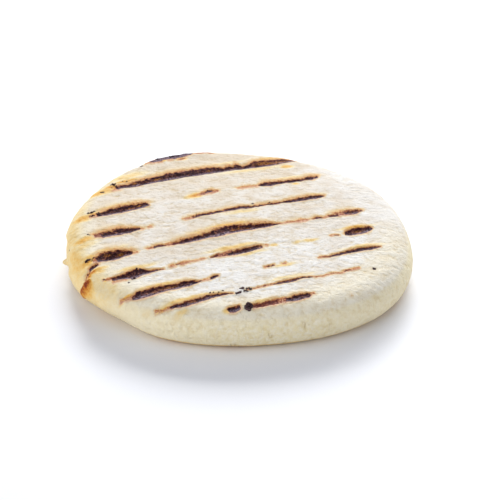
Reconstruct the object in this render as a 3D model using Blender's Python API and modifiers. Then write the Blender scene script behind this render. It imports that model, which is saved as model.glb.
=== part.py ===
"""A grilled arepa: one thick round cake of white corn dough, made as a single solid.

Metres, +Z up, flat underside on z = 0. The dough starts as a turned profile. Functions then give it
the uneven outline, the swollen top and the pushed-out rim of a cake patted by hand. Last, the round
rods of a grill press their grooves into both faces, and the fold at the rim is split open.
"""

import math
import random

import bmesh
import bpy
from mathutils import Matrix, Vector

# The cake
RADIUS = 0.055
THICKNESS = 0.014
CROWN = 0.0025  # how far the top falls from its middle to the rim
ROLL_WIDTH = 0.0068  # the soft corner between the top and the side
ROLL_DROP = 0.0046
FOOT_RADIUS = 0.0042  # the corner between the side and the underside
SIDE_BULGE = 0.0003

# The turned profile: rings of points on each stretch, and steps round the axis
TOP_RINGS = 8
ROLL_RINGS = 6
FOOT_RINGS = 4
UNDER_RINGS = 6
TURNED_STEPS = 90

# The outline is a circle with a few long waves: how many waves, then their cosine and sine shares
# of the radius
OUTLINE_WAVES = ((2, -0.002, -0.026), (3, 0.009, -0.014), (4, -0.010, 0.005), (5, -0.009, -0.002))

# Two low waves that swell the top: height, length, direction and phase
TOP_SWELLS = ((0.00018, 0.062, math.radians(100), 0.6), (0.00012, 0.041, math.radians(25), 2.1))

# The fold at the rim: the dough in front of it stands proud of the dough behind it, and fades back
FOLD_ANGLE = math.radians(214)
FOLD_SPAN = math.radians(30)
FOLD_PROUD = 0.0012
FOLD_REACH = 0.010  # how far in from the rim the dough is pushed
GATHER_SPAN = math.radians(10)  # how far on each side the points draw together at the fold
GATHER_POWER = 1.2
LEAN_TURN = math.radians(-4)  # how far the fold leans back on the top
LEAN_START = 0.0545  # distance from the middle at which it starts to lean
LEAN_LENGTH = 0.006
LEAN_SPAN = math.radians(24)
SPLIT_RADIUS = 0.0006
SPLIT_BACK = 0.0004  # how far behind the step the split lies
SPLIT_INNER_END = 0.047  # distance from the middle at which the split starts on the top
SPLIT_FOOT = 0.003  # height at which it ends on the side

# Past the fold the dough curls up off the table: its foot is rounder there. The angles are counted
# from the fold
CURL_RADIUS = 0.0084
CURL_START = (math.radians(-3), math.radians(1))
CURL_END = (math.radians(30), math.radians(14))
CURL_REACH = (0.034, 0.050)  # distances from the middle between which the underside is drawn in

# A nub of dough that sticks to the rim
NUB_ANGLE = math.radians(192)
NUB_HEIGHT = 0.0052
NUB_HALF_SIZE = Vector((0.0024, 0.0013, 0.0012))
NUB_SUNK = 0.0004
NUB_SEGMENTS = 10

# The grill: round rods that lie across the cake
ROD_RADIUS = 0.0034
ROD_SIDES = 24
ROD_STATION = 0.004  # distance between the points of a rod's axis
ROD_OVERRUN = 0.0012  # how far a rod runs on past each end of its groove
ROD_LIFT = 0.0005  # how far it stands off the dough there
TOP_ROD_ANGLE = math.radians(19.3)
UNDER_ROD_ANGLE = math.radians(-34)

# The grooves of the top: distance across the rods at the start and at the end, then the start
# and the end along the rod, and the width
TOP_GROOVES = (
    (0.0520, 0.0524, -0.0150, 0.0010, 0.0012),
    (0.0364, 0.0355, -0.0310, 0.0325, 0.0044),
    (0.0204, 0.0208, -0.0410, -0.0235, 0.0034),
    (0.0195, 0.0200, 0.0145, 0.0352, 0.0022),
    (0.0073, 0.0056, -0.0438, -0.0305, 0.0030),
    (0.0063, 0.0063, -0.0135, 0.0325, 0.0019),
    (-0.0062, -0.0064, -0.0470, -0.0362, 0.0044),
    (-0.0076, -0.0050, -0.0270, -0.0080, 0.0030),
    (-0.0056, -0.0062, -0.0060, 0.0105, 0.0036),
    (-0.0068, -0.0063, 0.0290, 0.0400, 0.0024),
    (-0.0186, -0.0190, -0.0455, -0.0315, 0.0034),
    (-0.0188, -0.0182, -0.0115, 0.0018, 0.0030),
    (-0.0188, -0.0172, 0.0285, 0.0383, 0.0036),
    (-0.0294, -0.0297, -0.0418, -0.0218, 0.0030),
    (-0.0298, -0.0286, 0.0190, 0.0362, 0.0020),
    (-0.0382, -0.0386, -0.0338, -0.0160, 0.0026),
    (-0.0390, -0.0386, -0.0060, 0.0105, 0.0014),
    (-0.0460, -0.0462, -0.0190, -0.0150, 0.0026),
    (-0.0470, -0.0470, -0.0108, 0.0066, 0.0022),
)

# The underside was grilled on the same rods: they lie at an even distance on both sides of the
# middle, and each touches the dough for a few stretches of random length
UNDER_ROD_DISTANCE = 0.0125
UNDER_RODS_EACH_SIDE = 4
UNDER_REACH = 0.047  # how far from the middle the flat of the underside is marked
UNDER_STRETCH = (0.012, 0.034)
UNDER_GAP = (0.005, 0.013)
UNDER_WIDTH = (0.0020, 0.0036)
UNDER_DRIFT = 0.0006
UNDER_SEED = 12

DOUGH_COLOUR = (0.80, 0.74, 0.60, 1.0)
DOUGH_ROUGHNESS = 0.62
SHARP_ANGLE = math.radians(35)
SLOPE_STEP = 0.0002
WELD_DISTANCE = 0.00001
UPPER_HALF = 0.007  # the fold leans only above this height


def outline(angle):
    """The cake's radius at this angle, as a share of RADIUS."""
    waves = (a * math.cos(n * angle) + b * math.sin(n * angle) for n, a, b in OUTLINE_WAVES)
    return 1 + sum(waves)


def top_section(radius):
    """Height of the turned profile's top at this radius: a low crown, then the rolled corner."""
    into_roll = max(0.0, (radius - RADIUS + ROLL_WIDTH) / ROLL_WIDTH)
    roll = 1 - math.sqrt(max(0.0, 1 - into_roll**2))
    return THICKNESS - CROWN * (radius / RADIUS) ** 2 - ROLL_DROP * roll


def swell(x, y):
    """How far the top rises or falls at this place from the turned profile."""
    rise = 0.0
    for height, length, direction, phase in TOP_SWELLS:
        along = x * math.cos(direction) + y * math.sin(direction)
        rise += height * math.sin(2 * math.pi * along / length + phase)
    return rise


def top_height(x, y):
    """Height of the finished top above this place, before the grill marks it."""
    turned_radius = math.hypot(x, y) / outline(math.atan2(y, x))
    return top_section(min(turned_radius, RADIUS)) + swell(x, y)


def underside_height(x, y):
    return 0.0


def facing(surface, x, y):
    """The upward normal of a height function at this place."""
    slope_x = (surface(x + SLOPE_STEP, y) - surface(x - SLOPE_STEP, y)) / (2 * SLOPE_STEP)
    slope_y = (surface(x, y + SLOPE_STEP) - surface(x, y - SLOPE_STEP)) / (2 * SLOPE_STEP)
    return Vector((-slope_x, -slope_y, 1.0)).normalized()


def from_fold(angle):
    """The angle from the fold to this angle, from minus a half turn to a half turn."""
    return (angle - FOLD_ANGLE + math.pi) % (2 * math.pi) - math.pi


def gathered(angle):
    """The angle of a point after the points near the fold are drawn together, for a steep step."""
    off = from_fold(angle)
    if abs(off) > GATHER_SPAN:
        return angle
    return FOLD_ANGLE + off * (abs(off) / GATHER_SPAN) ** GATHER_POWER


def lean(radius, angle):
    """How far a point near the fold turns round the cake, as the fold leans back on the top."""
    off = min(1.0, abs(from_fold(angle)) / LEAN_SPAN)
    inwards = min(1.0, max(0.0, (LEAN_START - radius) / LEAN_LENGTH))
    return LEAN_TURN * inwards * (0.5 + 0.5 * math.cos(math.pi * off))


def fold_push(radius, angle):
    """How far the fold pushes the rim outwards: most just past the fold, and nothing behind it."""
    past = (angle - FOLD_ANGLE) % (2 * math.pi)
    if past > FOLD_SPAN:
        return 0.0
    near_rim = min(1.0, max(0.0, (radius - RADIUS + FOLD_REACH) / FOLD_REACH))
    fade = 0.5 + 0.5 * math.cos(math.pi * past / FOLD_SPAN)
    return FOLD_PROUD * fade * near_rim


def ease(value, start, end):
    """0 up to start and 1 from end on, with a soft slope between. End may be below start."""
    share = min(1.0, max(0.0, (value - start) / (end - start)))
    return share * share * (3 - 2 * share)


def lies_back(corner, height):
    """How far a rounded foot of this radius lies back from the side at this height."""
    return corner - math.sqrt(corner**2 - max(0.0, corner - height) ** 2)


def curl(radius, angle, height):
    """How far the rounder foot past the fold draws a point in."""
    past = from_fold(angle)
    share = ease(past, *CURL_START) * ease(past, *CURL_END) * ease(radius, *CURL_REACH)
    return share * (lies_back(CURL_RADIUS, height) - lies_back(FOOT_RADIUS, height))


def shaped(point):
    """Where a point of the turned cake lies on the uneven one."""
    radius = math.hypot(point.x, point.y)
    angle = gathered(math.atan2(point.y, point.x))
    reach = radius * outline(angle) + fold_push(radius, angle) - curl(radius, angle, point.z)
    if point.z > UPPER_HALF:
        angle += lean(radius, angle)
    x = reach * math.cos(angle)
    y = reach * math.sin(angle)
    return Vector((x, y, point.z + swell(x, y) * (point.z / THICKNESS) ** 2))


def section_points():
    """The turned profile as (radius, height), from the middle of the top to the middle below."""
    flat = RADIUS - ROLL_WIDTH
    top = [flat * k / TOP_RINGS for k in range(TOP_RINGS + 1)]
    turns = [math.pi / 2 * k / ROLL_RINGS for k in range(1, ROLL_RINGS + 1)]
    roll = [flat + ROLL_WIDTH * math.sin(turn) for turn in turns]
    upper = [(radius, top_section(radius)) for radius in top + roll]
    side = [(RADIUS + SIDE_BULGE, (top_section(RADIUS) + FOOT_RADIUS) / 2)]
    middle = RADIUS - FOOT_RADIUS
    turns = [math.pi / 2 * k / FOOT_RINGS for k in range(FOOT_RINGS + 1)]
    foot = [
        (middle + FOOT_RADIUS * math.cos(turn), FOOT_RADIUS * (1 - math.sin(turn)))
        for turn in turns
    ]
    under = [(middle * k / UNDER_RINGS, 0.0) for k in range(UNDER_RINGS - 1, -1, -1)]
    return upper + side + foot + under


def new_object(name, data, collection):
    made = bpy.data.objects.new(name, data)
    collection.objects.link(made)
    return made


def fixed_mesh(source, name, collection):
    """The evaluated shape of an object, as a mesh object of its own; the source is removed."""
    bpy.context.view_layer.update()
    evaluated = source.evaluated_get(bpy.context.evaluated_depsgraph_get())
    made = new_object(name, bpy.data.meshes.new_from_object(evaluated), collection)
    bpy.data.objects.remove(source)
    return made


def edit(thing, change):
    """Open an object's mesh in BMesh, let a function change it, and write it back."""
    shape = bmesh.new()
    shape.from_mesh(thing.data)
    change(shape)
    shape.to_mesh(thing.data)
    shape.free()


def turned_cake(collection):
    """The plain cake: the section profile turned round the Z axis."""
    points = section_points()
    vertices = [(radius, 0.0, height) for radius, height in points]
    mesh = bpy.data.meshes.new("section")
    mesh.from_pydata(vertices, [(k, k + 1) for k in range(len(points) - 1)], [])
    section = new_object("section", mesh, collection)
    turn = section.modifiers.new("turn", "SCREW")
    turn.axis = "Z"
    turn.steps = TURNED_STEPS
    turn.render_steps = TURNED_STEPS
    turn.use_merge_vertices = True
    turn.merge_threshold = WELD_DISTANCE
    return fixed_mesh(section, "arepa", collection)


def patted(shape):
    """Move every point of the turned cake to its place on the uneven one."""
    for vertex in shape.verts:
        vertex.co = shaped(vertex.co)


def welded(shape):
    """Join the loose caps of a tube to its wall."""
    bmesh.ops.remove_doubles(shape, verts=shape.verts, dist=WELD_DISTANCE)
    bmesh.ops.recalc_face_normals(shape, faces=shape.faces)


def mark_as_cutter(thing):
    thing.display_type = "WIRE"
    thing.hide_render = True
    return thing


def tubes(name, paths, radius, collection):
    """A cutter of closed round tubes, each along a list of (point, share of the radius)."""
    curve = bpy.data.curves.new(name, "CURVE")
    curve.dimensions = "3D"
    curve.bevel_depth = radius
    curve.bevel_resolution = ROD_SIDES // 2 - 2
    curve.use_fill_caps = True
    for path in paths:
        spline = curve.splines.new("POLY")
        spline.points.add(len(path) - 1)
        for spot, (point, share) in zip(spline.points, path):
            spot.co = (*point, 1.0)
            spot.radius = share
    cutter = fixed_mesh(new_object(name + "_axes", curve, collection), name, collection)
    edit(cutter, welded)
    return mark_as_cutter(cutter)


def rod_path(groove, angle, surface, outwards):
    """The axis of the rod that presses one groove: it sinks in, follows the face and lifts off."""
    across_start, across_end, start, end, width = groove
    deepest = ROD_RADIUS - math.sqrt(ROD_RADIUS**2 - (width / 2) ** 2)
    stations = max(6, round((end - start) / ROD_STATION))
    overrun = ROD_OVERRUN / (end - start)
    path = []
    for k in range(stations + 1):
        share = -overrun + (1 + 2 * overrun) * k / stations
        along = start + (end - start) * share
        across = across_start + (across_end - across_start) * share
        x = along * math.cos(angle) - across * math.sin(angle)
        y = along * math.sin(angle) + across * math.cos(angle)
        depth = deepest * (1 - abs(2 * share - 1) ** 3) if 0 < share < 1 else -ROD_LIFT
        stand_off = facing(surface, x, y) * outwards * (ROD_RADIUS - depth)
        path.append((Vector((x, y, surface(x, y))) + stand_off, 1.0))
    return path


def under_grooves():
    """The grooves of the underside, in the same form as TOP_GROOVES."""
    chance = random.Random(UNDER_SEED)
    grooves = []
    for k in range(-UNDER_RODS_EACH_SIDE, UNDER_RODS_EACH_SIDE):
        across = (k + 0.5) * UNDER_ROD_DISTANCE
        reach = math.sqrt(UNDER_REACH**2 - across**2)
        start = -reach + chance.uniform(0.0, UNDER_GAP[1])
        while start < reach - UNDER_STRETCH[0]:
            end = min(start + chance.uniform(*UNDER_STRETCH), reach)
            drift = chance.uniform(-UNDER_DRIFT, UNDER_DRIFT)
            grooves.append((across - drift, across + drift, start, end, chance.uniform(*UNDER_WIDTH)))
            start = end + chance.uniform(*UNDER_GAP)
    return grooves


def split_path():
    """The open crack of the fold, from the top over the rolled corner and down the side."""
    ends = (SPLIT_INNER_END, SPLIT_FOOT)
    upper = [(r, z) for r, z in section_points() if z > ends[1] and r > ends[0]]
    points = [(ends[0], top_section(ends[0]))] + upper + [(RADIUS, ends[1])]
    path = []
    for k, (radius, height) in enumerate(points):
        angle = FOLD_ANGLE - GATHER_SPAN / 5
        place = shaped(Vector((radius * math.cos(angle), radius * math.sin(angle), height)))
        back = Vector((place.y, -place.x, 0.0)).normalized() * SPLIT_BACK
        taper = math.sin(math.pi * (k + 0.5) / len(points))
        path.append((place + back, 0.4 + 0.6 * taper))
    return path


def nub(collection):
    """The small nub of dough, a squashed ball that is later joined to the rim."""
    mesh = bpy.data.meshes.new("nub")
    made = new_object("nub", mesh, collection)
    distance = RADIUS * outline(NUB_ANGLE) - NUB_SUNK
    turn = Matrix.Rotation(NUB_ANGLE, 4, "Z")
    place = Matrix.Translation((distance, 0.0, NUB_HEIGHT))
    matrix = turn @ place @ Matrix.Diagonal((*NUB_HALF_SIZE, 1.0))
    edit(
        made,
        lambda shape: bmesh.ops.create_uvsphere(
            shape, u_segments=NUB_SEGMENTS, v_segments=NUB_SEGMENTS // 2, radius=1.0, matrix=matrix
        ),
    )
    return mark_as_cutter(made)


def boolean(thing, operation, other):
    step = thing.modifiers.new(other.name, "BOOLEAN")
    step.operation = operation
    step.object = other
    step.solver = "EXACT"


def dough_material():
    material = bpy.data.materials.new("corn_dough")
    material.use_nodes = True
    shader = material.node_tree.nodes["Principled BSDF"]
    shader.inputs["Base Color"].default_value = DOUGH_COLOUR
    shader.inputs["Roughness"].default_value = DOUGH_ROUGHNESS
    shader.inputs["Metallic"].default_value = 0.0
    return material


def centre_over_origin(thing, centre):
    """Move the empty that carries everything so that the finished cake's box is centred on X and Y."""
    bpy.context.view_layer.update()
    evaluated = thing.evaluated_get(bpy.context.evaluated_depsgraph_get())
    corners = [thing.matrix_world @ Vector(corner) for corner in evaluated.bound_box]
    for axis in (0, 1):
        values = [corner[axis] for corner in corners]
        centre.location[axis] = -(min(values) + max(values)) / 2


def main():
    for old in list(bpy.data.objects):
        bpy.data.objects.remove(old)
    parts = bpy.data.collections.new("arepa")
    cutters = bpy.data.collections.new("cutters")
    bpy.context.scene.collection.children.link(parts)
    bpy.context.scene.collection.children.link(cutters)

    cake = turned_cake(parts)
    edit(cake, patted)
    cake.data.shade_smooth()
    cake.data.set_sharp_from_angle(angle=SHARP_ANGLE)
    cake.data.materials.append(dough_material())

    top_rods = [rod_path(groove, TOP_ROD_ANGLE, top_height, 1) for groove in TOP_GROOVES]
    under_rods = [rod_path(groove, UNDER_ROD_ANGLE, underside_height, -1) for groove in under_grooves()]
    boolean(cake, "UNION", nub(cutters))
    boolean(cake, "DIFFERENCE", tubes("top_rods", top_rods, ROD_RADIUS, cutters))
    boolean(cake, "DIFFERENCE", tubes("under_rods", under_rods, ROD_RADIUS, cutters))
    boolean(cake, "DIFFERENCE", tubes("split", [split_path()], SPLIT_RADIUS, cutters))

    centre = new_object("cake_centre", None, parts)
    for thing in (cake, *cutters.objects):
        thing.parent = centre
    centre_over_origin(cake, centre)


main()
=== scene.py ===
# %% [markdown]
# # A grilled arepa
#
# An arepa is a thick round cake of cooked white corn dough. This one was patted by hand and laid on a
# grill of round rods, which pressed dark bars into both faces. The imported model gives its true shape
# and size, as one plain solid. This lesson gives it its looks: a skin with the wrinkles of dried
# dough, the burnt bars with their golden edges, and the bits of char that stick to them.
#
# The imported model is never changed. A new skin is made from a copy of it and stands in its place.

import math
import random

import bpy
import numpy as np
from mathutils import Euler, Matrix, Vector, noise


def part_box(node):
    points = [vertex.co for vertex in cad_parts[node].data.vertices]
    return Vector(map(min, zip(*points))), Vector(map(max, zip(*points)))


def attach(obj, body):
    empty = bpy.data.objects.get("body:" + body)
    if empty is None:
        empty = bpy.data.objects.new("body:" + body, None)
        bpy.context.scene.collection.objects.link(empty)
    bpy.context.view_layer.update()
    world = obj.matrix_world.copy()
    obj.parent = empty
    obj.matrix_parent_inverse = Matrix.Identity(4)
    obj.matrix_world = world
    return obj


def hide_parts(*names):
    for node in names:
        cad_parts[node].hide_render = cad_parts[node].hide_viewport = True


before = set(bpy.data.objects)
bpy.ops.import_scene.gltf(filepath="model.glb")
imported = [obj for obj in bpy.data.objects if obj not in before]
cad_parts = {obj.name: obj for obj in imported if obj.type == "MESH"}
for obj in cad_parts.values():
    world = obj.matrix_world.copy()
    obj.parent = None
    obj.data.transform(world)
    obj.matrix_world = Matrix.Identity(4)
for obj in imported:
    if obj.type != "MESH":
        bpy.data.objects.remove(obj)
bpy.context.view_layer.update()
cake_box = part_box("arepa")
MM = 0.001
print("the cake measures", [round((high - low) / MM, 1) for low, high in zip(*cake_box)], "mm")

# %% [markdown]
# ## The camera
#
# The camera looks from the height of someone sitting at the table, with a long lens. It stands in
# front of the cake and a little over 30 degrees above the table. The cake was first turned about an
# axis and then shaped, so its box isn't centred on that axis. The camera and all the marks below are
# placed from the axis.

# %% Camera
TURNING_AXIS = Vector((0.138, -0.940, 0.0)) * MM
CAMERA_DISTANCE = 0.479
CAMERA_HEIGHT = math.radians(30.45)
CAMERA_LENS = 108  # mm
FILM_WIDTH = 36  # mm
NEAREST_SEEN = 0.01
AIM = Vector((4.1, 0.0, 2.67)) * MM

camera = bpy.data.objects.new("camera", bpy.data.cameras.new("camera"))
bpy.context.scene.collection.objects.link(camera)
camera.data.lens = CAMERA_LENS
camera.data.sensor_width = FILM_WIDTH
camera.data.clip_start = NEAREST_SEEN
away = Vector((0.0, -math.cos(CAMERA_HEIGHT), math.sin(CAMERA_HEIGHT)))
camera.location = TURNING_AXIS + away * CAMERA_DISTANCE
camera.rotation_euler = (TURNING_AXIS + AIM - camera.location).to_track_quat("-Z", "Y").to_euler()
bpy.context.scene.camera = camera
print("camera at", [round(value, 3) for value in camera.location])

# %% [markdown]
# ## The table and the light
#
# The cake lies on a white table that is lit until it is pure white, as for a catalogue. The strongest
# lamp stands behind the cake and a little to the right, so the shadow falls towards the camera and
# shows how thick the cake is. A wide lamp at the left and a weak one at the right, both a little in
# front, lift its sides, and a faintly blue room fills the shadow in. The Standard view transform
# keeps white as white.

# %% Floor, light and room
FLOOR_SIZE = 12.0
LIGHT_DISTANCE = 3.0
LAMPS = (  # name, size in m, degrees round from straight behind, degrees up, power
    ("key_light", (2.8, 1.1), 10, 24, 115.0),
    ("fill_light", (3.0, 1.6), 250, 24, 55.0),
    ("side_light", (1.8, 1.4), 112, 20, 21.0),
)
ROOM_BRIGHTNESS = 0.435
ROOM_TINT = (0.80, 0.85, 1.0, 1.0)


def select_only(*things):
    """Select these objects and nothing else, and make the first one active."""
    bpy.ops.object.select_all(action="DESELECT")
    for thing in things:
        thing.select_set(True)
    bpy.context.view_layer.objects.active = things[0]


def soft_light(name, size, side, height, power):
    """A large soft lamp that faces the cake."""
    lamp = bpy.data.objects.new(name, bpy.data.lights.new(name, "AREA"))
    bpy.context.scene.collection.objects.link(lamp)
    lamp.data.shape = "RECTANGLE"
    lamp.data.size, lamp.data.size_y = size
    lamp.data.energy = power
    side, height = math.radians(side), math.radians(height)
    level = math.cos(height)
    towards = Vector((math.sin(side) * level, math.cos(side) * level, math.sin(height)))
    lamp.location = LIGHT_DISTANCE * towards
    lamp.rotation_euler = (-lamp.location).to_track_quat("-Z", "Y").to_euler()


bpy.context.scene.view_settings.view_transform = "Standard"
bpy.ops.mesh.primitive_plane_add(size=FLOOR_SIZE, location=(0, 0, cake_box[0].z))
floor = bpy.context.object
floor.name = "table"
for lamp in LAMPS:
    soft_light(*lamp)

room = bpy.data.worlds.new("white_room")
room.use_nodes = True
room.node_tree.nodes["Background"].inputs["Color"].default_value = ROOM_TINT
room.node_tree.nodes["Background"].inputs["Strength"].default_value = ROOM_BRIGHTNESS
bpy.context.scene.world = room
print("lamps:", [name for name, *rest in LAMPS])

# %% [markdown]
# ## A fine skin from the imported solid
#
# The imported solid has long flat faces: enough for its shape, too few for wrinkles. Its skin will have
# about a hundred thousand points, so they are read, moved and written all at once, as arrays, in mm
# from the turning axis. The soft step called ease is what most shapes and colours below are made of:
# the pair of numbers given to it says where something starts and where it is full.

# %% Helpers for points
AXIS = np.array(TURNING_AXIS)


def triples(rows, name):
    """Three numbers from each row, such as the place of each point, as an array."""
    flat = np.empty(len(rows) * 3, dtype=np.float32)
    rows.foreach_get(name, flat)
    return flat.reshape(-1, 3).astype(float)


def places(thing):
    """The points of an object in mm from the turning axis."""
    return (triples(thing.data.vertices, "co") - AXIS) / MM


def put_back(thing, points):
    """Write points in mm from the turning axis back to the object."""
    thing.data.vertices.foreach_set("co", (points * MM + AXIS).astype(np.float32).ravel())
    thing.data.update()


def outward(thing):
    """The normal at every point of an object."""
    return triples(thing.data.vertex_normals, "vector")


def from_axis(points):
    """Distance of each point from the turning axis."""
    return np.hypot(points[:, 0], points[:, 1])


def round_cake(points):
    """Degrees round the cake, from 0 on the right."""
    return np.degrees(np.arctan2(points[:, 1], points[:, 0])) % 360


def ease(values, start, end):
    """0 up to start and 1 from end on, with a soft slope between. End may be below start."""
    share = np.clip((values - start) / (end - start), 0.0, 1.0)
    return share * share * (3 - 2 * share)


def span(values, start, full, fading, end):
    """1 in the middle of a span and 0 outside it, with soft slopes."""
    return ease(values, start, full) * ease(values, end, fading)


# %% [markdown]
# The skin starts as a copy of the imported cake. The copy is merged, because it comes as loose
# triangles, and the voxel remesh then covers it with an even net of small squares.

# %% Net of small squares
VOXEL = 0.46 * MM
MERGED_WITHIN = 0.001 * MM


def apply_modifier(thing, kind, **settings):
    """Add a modifier with these settings and apply it."""
    step = thing.modifiers.new(kind.lower(), kind)
    for name, value in settings.items():
        setattr(step, name, value)
    select_only(thing)
    bpy.ops.object.modifier_apply(modifier=step.name)


skin = bpy.data.objects.new("dough_skin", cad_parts["arepa"].data.copy())
bpy.context.scene.collection.objects.link(skin)
skin.data.materials.clear()
select_only(skin)
bpy.ops.object.mode_set(mode="EDIT")
bpy.ops.mesh.select_all(action="SELECT")
bpy.ops.mesh.remove_doubles(threshold=MERGED_WITHIN)
bpy.ops.object.mode_set(mode="OBJECT")
apply_modifier(skin, "REMESH", mode="VOXEL", voxel_size=VOXEL, use_smooth_shade=True)
print("the net has", len(skin.data.vertices), "points")

# %% [markdown]
# Smoothing takes the old facets away. It would also melt the fold in the rim, where the dough really
# has an edge, and the small nub beside it, so a vertex group holds the points back there.

# %% Smoothing
EVENING_ROUNDS = 36
EVENING_STEP = 0.5
FOLD_ANGLE = math.radians(214)
FOLD_LEAN = math.radians(-4)  # how far the fold turns on the top
FOLD_LEAN_REACH = (55.0, 49.0)  # mm from the axis
FOLD_LEAN_FROM = 7  # mm up
FOLD_INNER_END = 44  # mm from the axis
FOLD_EASE = 2.2  # mm
NUB_PLACE = np.array([-54.4, -11.5, 5.2])  # mm
NUB_EASE = 3.0
HELD_BACK = 0.93


def rim_place(points):
    """Distance from the axis in mm, and how far past the fold a point lies round the rim, in mm."""
    radius = from_axis(points)
    angle = np.arctan2(points[:, 1], points[:, 0])
    fold = FOLD_ANGLE + FOLD_LEAN * ease(radius, *FOLD_LEAN_REACH) * (points[:, 2] > FOLD_LEAN_FROM)
    off = (angle - fold + math.pi) % (2 * math.pi) - math.pi
    return radius, radius * off


points = places(skin)
radius, past_fold = rim_place(points)
held = (radius > FOLD_INNER_END) * np.exp(-((past_fold / FOLD_EASE) ** 2))
off_nub = np.linalg.norm(points - NUB_PLACE, axis=1)
held = np.maximum(held, np.exp(-((off_nub / NUB_EASE) ** 2)))
freedom = np.round(1 - HELD_BACK * held, 2)
even = skin.vertex_groups.new(name="even")
for level in np.unique(freedom):
    even.add(np.nonzero(freedom == level)[0].tolist(), float(level), "REPLACE")
apply_modifier(skin, "SMOOTH", factor=EVENING_STEP, iterations=EVENING_ROUNDS, vertex_group="even")
skin.vertex_groups.clear()
print("points held back:", int((held > 0.5).sum()))

# %% [markdown]
# The flat middle of the underside needs fewer faces, so more than half of those are given back. They
# are selected by their height, and the decimate step works on what is selected.

# %% Thinner underside
UNDER_KEEP = 0.4
FLAT_BELOW = 0.45 * MM

select_only(skin)
bpy.ops.object.mode_set(mode="EDIT")
bpy.ops.mesh.select_all(action="DESELECT")
bpy.ops.object.mode_set(mode="OBJECT")
flat_below = triples(skin.data.polygons, "center")[:, 2] < cake_box[0].z + FLAT_BELOW
skin.data.polygons.foreach_set("select", flat_below)
bpy.ops.object.mode_set(mode="EDIT")
bpy.ops.mesh.decimate(ratio=UNDER_KEEP)
bpy.ops.object.mode_set(mode="OBJECT")
skin.data.calc_loop_triangles()
print("the skin has", len(skin.data.vertices), "points and", len(skin.data.loop_triangles), "triangles")

# %% [markdown]
# Smoothing also draws the shape in by a tenth of a millimetre or so. The skin is stretched back to
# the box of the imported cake, less a little room for the relief that is still to come. Beside the nub
# the rim of this cake lies back a little, in a band that leans as it goes up.

# %% Back to size
RELIEF_ROOM = 0.06  # mm
BACK_DEPTH = 0.9  # mm
BACK_SPAN = (179.0, 184.0, 199.0, 206.0)  # degrees round the cake: start, full, fading, end
BACK_LEVEL = 8.0  # mm up, where the span is as given
BACK_SLANT = 1.7  # degrees for each mm of height
BACK_RIM = (44.0, 52.0)  # mm from the axis

limits = [(np.array(corner) - AXIS) / MM for corner in cake_box]
low = limits[0] + RELIEF_ROOM * np.array([1, 1, 0])
high = limits[1] - RELIEF_ROOM
points = places(skin)
share = (points - points.min(axis=0)) / (points.max(axis=0) - points.min(axis=0))
points = low + share * (high - low)
radius = from_axis(points)
slanted = round_cake(points) + BACK_SLANT * (BACK_LEVEL - points[:, 2])
back = BACK_DEPTH * span(slanted, *BACK_SPAN) * ease(radius, *BACK_RIM)
points[:, :2] *= (1 - back / radius)[:, None]
put_back(skin, points)
print("stretched back to", np.round(high - low, 2), "mm")

# %% [markdown]
# ## Where the grill touched the dough
#
# The rods of a grill lie side by side, so every mark is a stretch of a straight bar. Where the
# dough bulged up it burnt wide and black, and where it only brushed a rod it went orange or missed
# it altogether. Each mark is listed by how hot it got, from 0, raw, to 1, charred, and by a few
# stations: the distance along the rods, then the near and the far edge across them, all in mm from
# the turning axis. A list like this reads as a drawing does, and any mark can be moved or widened.

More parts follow.
